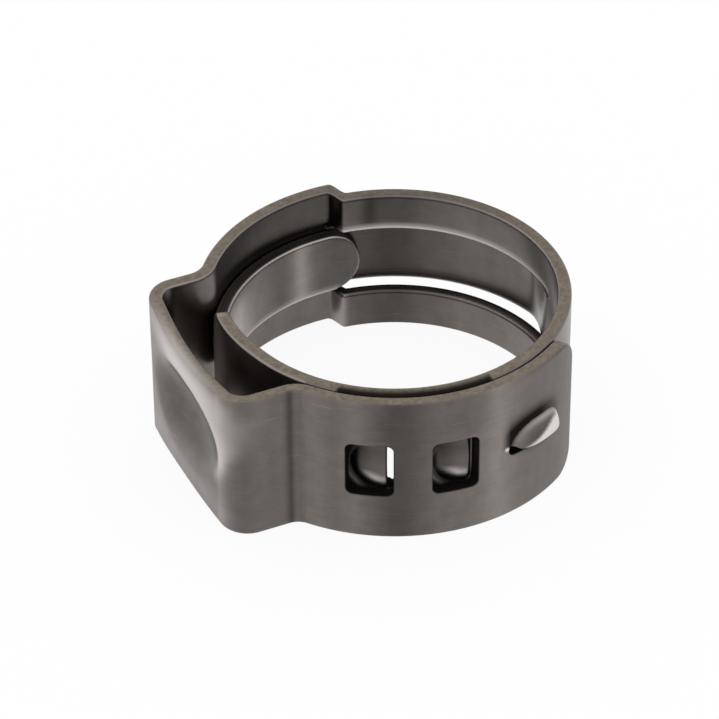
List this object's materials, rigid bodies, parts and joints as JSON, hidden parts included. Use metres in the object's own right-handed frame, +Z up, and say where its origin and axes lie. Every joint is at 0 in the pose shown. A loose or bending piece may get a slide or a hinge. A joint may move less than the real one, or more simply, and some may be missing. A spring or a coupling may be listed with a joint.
{
  "type": "ear hose clamp",
  "caption": "One-piece ear hose clamp of folded strip: round band, a pinch ear with a pressed dish, a lapped front held by drawn hooks, and a tongue that bridges the gap under the ear.",
  "frame": {"origin": "on the band's axis, in the plane of its lower edge", "axes": "+Z up along the band's axis, the ear points along -X, the lapped front with its windows faces -Y"},
  "size_m": [0.0184, 0.0166, 0.007],
  "materials": {
    "stainless_strip": "cold-rolled and tumbled"
  },
  "bodies": {
    "root": {"clamp_band": "stainless_strip"}
  },
  "joints": []
}
